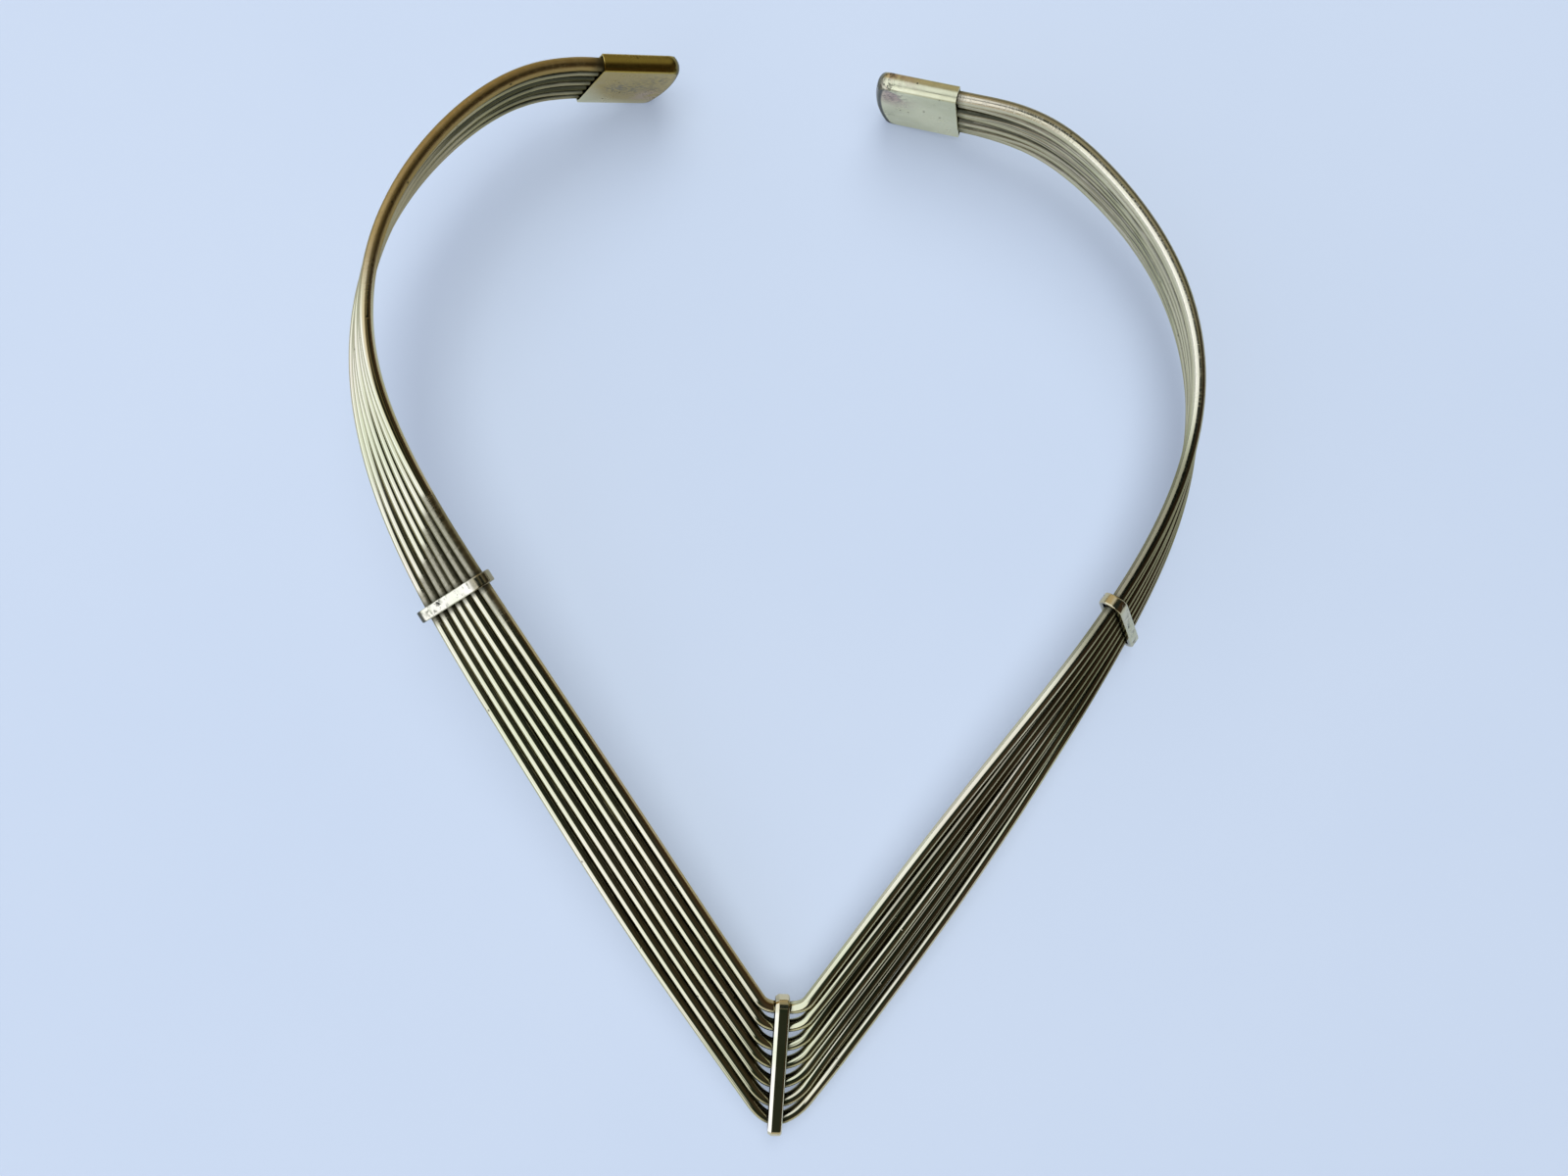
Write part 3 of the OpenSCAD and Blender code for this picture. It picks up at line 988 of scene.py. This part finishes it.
def cap_strips(skin, columns, grids, profile, rim_line):
    """Strips across a cap's edge, from the mouth along one side, round the end and back along the other."""
    width = len(columns)
    perimeter = [(i, 0) for i in range(CAP_ROWS + 1)]
    perimeter += [(CAP_ROWS, j) for j in range(1, width)]
    perimeter += [(i, width - 1) for i in range(CAP_ROWS - 1, -1, -1)]
    strips = []
    for i, j in perimeter:
        y, end, way = columns[j]
        x = column_place(end, i)
        if i < CAP_ROWS:
            way = (-1, 0) if j == 0 else (1, 0)
        # Painted shade darkens the rim round the end, more and more over the first columns of each corner
        past_corner = min(j, width - 1 - j) if i == CAP_ROWS else 0
        dark = max(rim_line, 0.9 * float(smooth_step(past_corner, 0, 4)))
        strip = [skin.put(x + way[1] * out, y + way[0] * out, z, dark) for out, z in profile]
        strips.append([grids[0][i][j]] + strip + [grids[1][i][j]])
    return strips


def cap_rings(skin, grids, strips):
    """Rings of points from a cap's mouth over its rounded lip and down its inner walls."""
    ring = grids[0][0][1:-1] + strips[-1] + grids[1][0][-2:0:-1] + strips[0][::-1]
    rings = [ring]
    # Each row: distance from the mouth, share of the wall that lies outside, and painted shade, darker deeper
    # in
    for x, share, dark in ((0.0, 0.5, 0.15), (0.05, 1.0, 0.6), (CAP_DEPTH, 1.0, 1.0)):
        y_share = 1 - share * CAP_WALL / CAP_HALF_W
        z_share = 1 - share * CAP_WALL / CAP_HALF_H
        outer = [skin.points[k] for k in ring]
        rings.append([skin.put(x, y * y_share, z * z_share, dark) for _, y, z in outer])
    return rings


def cap_faces(grids, strips, rings):
    """Quads of a cap's two faces, its edge, and its lip with the inner walls, and the hollow's end."""
    faces = []
    for grid in grids:
        for one, two in zip(grid, grid[1:]):
            for k in range(len(one) - 1):
                faces.append([one[k], two[k], two[k + 1], one[k + 1]])
    for one, two in zip(strips, strips[1:]):
        for k in range(len(one) - 1):
            faces.append([one[k], one[k + 1], two[k + 1], two[k]])
    for one, two in zip(rings, rings[1:]):
        for k in range(len(one)):
            n = (k + 1) % len(one)
            faces.append([one[k], two[k], two[n], one[n]])
    faces.append(rings[-1])
    return faces


def make_cap(name, table, side, look, material):
    """A closed flat sleeve over the wire ends, with folded edges, a bulged end and a hollow for the wires."""
    profile, edge_out = edge_profile()
    columns = cap_columns(edge_out)
    skin = CapSkin(random_dents(look.seed, CAP_DENTS, CAP_DENT_LIMITS))
    grids = cap_grids(skin, columns, look.end_line)
    strips = cap_strips(skin, columns, grids, profile, look.rim_line)
    rings = cap_rings(skin, grids, strips)
    faces = cap_faces(grids, strips, rings)
    corners = [skin.spots[k] for face in faces for k in face]
    attributes = {"grime_and_shade": skin.grime_and_shade}
    for title, blots in look.blots.items():
        attributes[title] = [min(1.0, blot_sum(blots, x, y)) for x, y in skin.spots]
    place, along, across, out = band(table, side, len(table) - 1)
    points = in_frame(np.array(skin.points), place, along, across, out)
    make_piece(name, points, faces, corners, attributes, material)


# Camera, stage and light

# Camera: its place over the collar, its lens and sensor, and the nearest that it sees, in metres
CAMERA_PLACE = Vector((-0.5, 3.0, 178.0))
CAMERA_LENS = 27
CAMERA_SENSOR = 36
CAMERA_NEAR = 0.01

# Floor: its two close tones, its glow, its half side in metres, and its gap under the collar in metres
FLOOR_TONES = ((0.174, 0.197, 0.234, 1), (0.183, 0.204, 0.238, 1))
FLOOR_GLOW = (0.850, 1.000, 1.270, 1)
FLOOR_GLOW_STRENGTH = 0.28
FLOOR_HALF = 3.0
FLOOR_GAP = 0.00002

# Backdrop: its glow, and its sides, radius, foot and top in metres
BACKDROP_GLOW = (0.60, 0.70, 0.86, 1)
BACKDROP_SIDES = 64
BACKDROP_RADIUS = 2.9
BACKDROP_FOOT = -0.5
BACKDROP_TOP = 2.5

# Dark card: its colour, its left, right, front and back edge, and its height
CARD_COLOUR = (0.02, 0.025, 0.02, 1)
CARD_EDGES = (12, 150, -40, 68)
CARD_HEIGHT = 150

# Lamps. Each row: name, azimuth, elevation and spread in degrees, and strength
LAMPS = (
    ("top_light", 0, 90, 40, 2.9),
    ("main_light", 84, 52, 40, 2.5),
)
LAMP_COLOUR = (0.94, 0.98, 1.0)

# Room's colours: on the left, on the right, near the horizon and under it
ROOM_LEFT = (0.016, 0.028, 0.022, 1)
ROOM_RIGHT = (0.060, 0.042, 0.030, 1)
ROOM_LOW = (0.12, 0.12, 0.13, 1)
ROOM_FLOOR = (0.58, 0.68, 0.85, 1)

# Patches in the room, each over the ones before it. Each row: azimuth, elevation, half width and half height
# in degrees, softness of the edge, and colour
ROOM_PATCHES = (
    (115, 28, 38, 32, 0.6, (0.62, 0.55, 0.42, 1)),
    (58, 48, 27, 34, 0.3, (0.30, 0.30, 0.26, 1)),
    (265, 8, 40, 14, 0.3, (0.50, 0.48, 0.42, 1)),
    (148, 58, 22, 24, 0.15, (1.00, 1.12, 1.42, 1)),
    (225, 44, 22, 23, 0.15, (1.10, 1.20, 1.46, 1)),
    (187, 24, 50, 36, 0.08, (1.10, 1.24, 1.60, 1)),
    (198, 8, 42, 14, 0.3, (1.40, 1.56, 2.20, 1)),
)


def make_camera():
    """Straight down over the collar, from the height that gives the photograph's perspective."""
    data = bpy.data.cameras.new("camera")
    data.sensor_width = CAMERA_SENSOR
    data.lens = CAMERA_LENS
    data.clip_start = CAMERA_NEAR
    camera = bpy.data.objects.new("camera", data)
    camera.location = CAMERA_PLACE * MM
    bpy.context.scene.collection.objects.link(camera)
    bpy.context.scene.camera = camera


def paint(name, values):
    """A plain paint: its node tree, with these values on the shader's own sockets."""
    t = Tree(bpy.data.materials.new(name))
    for title, value in values.items():
        t.shader.inputs[title].default_value = value
    return t


def level_sheet(left, right, front, back, height):
    """Corners of a level sheet."""
    return [(left, front, height), (right, front, height), (right, back, height), (left, back, height)]


def add_stage(name, points, faces, material, hidden_from=()):
    """Put a mesh on the stage round the object, hidden from the kinds of ray that are named."""
    mesh = bpy.data.meshes.new(name)
    mesh.from_pydata(points, [], faces)
    mesh.materials.append(material)
    thing = bpy.data.objects.new(name, mesh)
    for kind in hidden_from:
        setattr(thing, "visible_" + kind, False)
    bpy.context.scene.collection.objects.link(thing)


def make_floor():
    """A plain pale floor that glows a little, so that the shadows on it stay weak."""
    t = paint("floor_paint", {
        "Emission Color": FLOOR_GLOW,
        "Emission Strength": FLOOR_GLOW_STRENGTH,
        "Roughness": 0.6,
    })
    tone = t.ramp(t.noise(t.place(), 9, 4), 0.3, 0.7)
    t.feed(t.shader.inputs["Base Color"], t.mix(tone, *FLOOR_TONES))
    corners = level_sheet(-FLOOR_HALF, FLOOR_HALF, -FLOOR_HALF, FLOOR_HALF, cad_box[0].z - FLOOR_GAP)
    add_stage("floor", corners, [(0, 1, 2, 3)], t.owner)


def make_backdrop():
    """A plain pale wall all round, far off and seen only by the camera, so it changes no light."""
    t = paint("backdrop_paint", {
        "Base Color": (0.0, 0.0, 0.0, 1),
        "Specular IOR Level": 0.0,
        "Emission Color": BACKDROP_GLOW,
        "Emission Strength": 1.0,
    })
    n = BACKDROP_SIDES
    turns = [2 * math.pi * k / n for k in range(n)]
    ring = [(BACKDROP_RADIUS * math.cos(a), BACKDROP_RADIUS * math.sin(a)) for a in turns]
    points = [(x, y, z) for z in (BACKDROP_FOOT, BACKDROP_TOP) for x, y in ring]
    faces = [(k, (k + 1) % n, n + (k + 1) % n, n + k) for k in range(n)]
    add_stage("backdrop", points, faces, t.owner, ("diffuse", "glossy", "shadow"))


def make_card():
    """A dark card over the right half, seen only in the polish."""
    t = paint("card_paint", {"Base Color": CARD_COLOUR, "Roughness": 1.0})
    corners = [Vector(corner) * MM for corner in level_sheet(*CARD_EDGES, CARD_HEIGHT)]
    add_stage("card", corners, [(0, 1, 2, 3)], t.owner, ("camera", "diffuse", "shadow"))


def way_to(azimuth, elevation):
    """Direction to a place in the room, from its angles in degrees."""
    a, e = math.radians(azimuth), math.radians(elevation)
    return Vector((math.cos(e) * math.cos(a), math.cos(e) * math.sin(a), math.sin(e)))


def make_lamp(name, azimuth, elevation, spread, strength):
    """A wide soft light, even over the floor, and left out of the reflections, which show the room."""
    data = bpy.data.lights.new(name, "SUN")
    data.energy = strength
    data.angle = math.radians(spread)
    data.color = LAMP_COLOUR
    lamp = bpy.data.objects.new(name, data)
    lamp.rotation_mode = "QUATERNION"
    lamp.rotation_quaternion = way_to(azimuth, elevation).to_track_quat("Z", "Y")
    lamp.visible_glossy = False
    bpy.context.scene.collection.objects.link(lamp)


def add_patch(t, way, height, colour, patch):
    """The room's colour with one more oval patch over it, which ends at the horizon."""
    azimuth, elevation, half_width, half_height, soft, shine = patch
    centre = way_to(azimuth, elevation)
    level = way_to(azimuth - 90, 0)
    upright = level.cross(centre)
    x = t.math("DIVIDE", t.dot(way, level), math.sin(math.radians(half_width)))
    y = t.math("DIVIDE", t.dot(way, upright), math.sin(math.radians(half_height)))
    far = t.math("SQRT", t.plus(t.times(x, x), t.times(y, y)))
    inside = t.ramp(far, 1 - soft, 1 + soft, 1.0, 0.0)
    ahead = t.ramp(t.dot(way, centre), 0.0, 0.05)
    above = t.ramp(height, -0.02, 0.0)
    return t.mix(t.times(t.times(inside, ahead), above), colour, shine)


def make_room():
    """A dim room with soft bright and dark patches for the polish to show."""
    world = bpy.data.worlds.new("room")
    bpy.context.scene.world = world
    t = Tree(world)
    way = t.place("Generated")
    height = t.dot(way, (0, 0, 1))
    right = t.ramp(t.dot(way, way_to(-20, 10)), 0.2, 1.0)
    colour = t.mix(right, ROOM_LEFT, ROOM_RIGHT)
    colour = t.mix(t.ramp(height, 0.0, 0.16, 1.0, 0.0), colour, ROOM_LOW)
    colour = t.mix(t.ramp(height, -0.04, 0.01, 1.0, 0.0), colour, ROOM_FLOOR)
    for patch in ROOM_PATCHES:
        colour = add_patch(t, way, height, colour, patch)
    t.feed(t.nodes["Background"].inputs["Color"], colour)


# The scene

make_camera()
make_room()
make_floor()
make_backdrop()
make_card()
for lamp in LAMPS:
    make_lamp(*lamp)

wires_look = wire_metal()
straps_look = strap_metal()
caps_look = cap_metal()
for number in range(1, WIRE_COUNT + 1):
    make_wire(number, wires_look)
for seed, strap in enumerate(strap_frames()):
    make_strap(strap, STRAP_LOOKS[strap.name], straps_look, seed)
make_cap("left_cap", LEFT_ROUTE, 1, CAP_LOOKS["left_cap"], caps_look)
make_cap("right_cap", RIGHT_ROUTE, -1, CAP_LOOKS["right_cap"], caps_look)

bpy.context.scene.view_settings.view_transform = "Standard"
